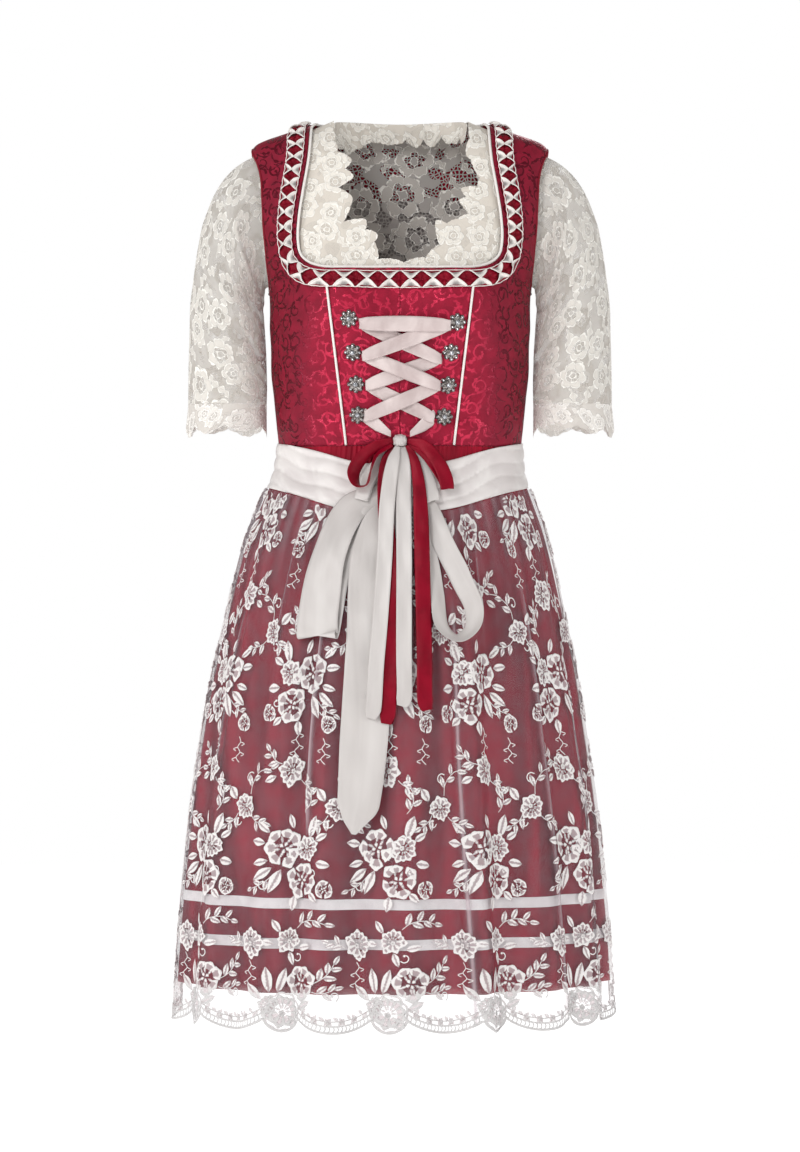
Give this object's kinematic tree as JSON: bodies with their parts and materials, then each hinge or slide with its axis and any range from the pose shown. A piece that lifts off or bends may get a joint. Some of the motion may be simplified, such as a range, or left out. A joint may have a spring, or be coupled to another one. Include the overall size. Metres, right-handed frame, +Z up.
{
  "type": "dirndl",
  "caption": "Laced dirndl as worn by nobody: square-necked brocade bodice, lace blouse, gathered knee-length skirt, sheer embroidered apron tied with a sash.",
  "frame": {"origin": "between the two shoulders, level with the neck side of the shoulder ridges, where the wearer carries the dress", "axes": "+Z up, front faces -Y, the wearer's left is +X"},
  "size_m": [0.5295, 0.4323, 1.0759],
  "materials": {
    "brocade": "crimson jacquard with a satin scroll, medium gloss",
    "red_satin": "crimson satin, soft gloss",
    "white_satin": "off-white satin, soft gloss",
    "white_piping": "white cotton piping, matt",
    "lace": "cream lace, matt",
    "sheer": "sheer organza with raised white embroidery, matt",
    "old_silver": "antique silver with clear stones"
  },
  "bodies": {
    "root": {"bodice_front_left": "brocade", "bodice_front_right": "brocade", "bodice_front_side_left": "brocade", "bodice_front_side_right": "brocade", "bodice_back_side_left": "brocade", "bodice_back_side_right": "brocade", "bodice_back": "brocade", "armhole_piping_left": "brocade", "armhole_piping_right": "brocade", "neck_piping": "white_piping", "princess_piping_left": "white_piping", "princess_piping_right": "white_piping", "neck_trim": "red_satin", "hook_right_1": "old_silver", "hook_right_2": "old_silver", "hook_right_3": "old_silver", "hook_right_4": "old_silver", "hook_left_1": "old_silver", "hook_left_2": "old_silver", "hook_left_3": "old_silver", "hook_left_4": "old_silver", "lacing": "white_satin", "bow_knot": "white_satin", "sash_knot": "white_satin", "bow_loop_red_right": "red_satin", "bow_loop_white_right": "white_satin", "bow_loop_red_left": "red_satin", "bow_loop_white_left": "white_satin", "bow_tail_red_right": "red_satin", "bow_tail_white_right": "white_satin", "bow_tail_red_left": "red_satin", "bow_tail_white_left": "white_satin", "sash_band": "white_satin", "sash_loop_right": "white_satin", "sash_loop_left": "white_satin", "sash_end": "white_satin", "sash_end_behind": "white_satin", "band_upper": "white_satin", "band_lower": "white_satin", "skirt_front": "red_satin", "skirt_back": "red_satin", "apron": "sheer", "blouse_front": "lace", "blouse_back": "lace", "neck_ruffle": "lace", "sleeve_left": "lace", "sleeve_right": "lace", "cuff_lace_left": "lace", "cuff_lace_right": "lace"}
  },
  "joints": []
}
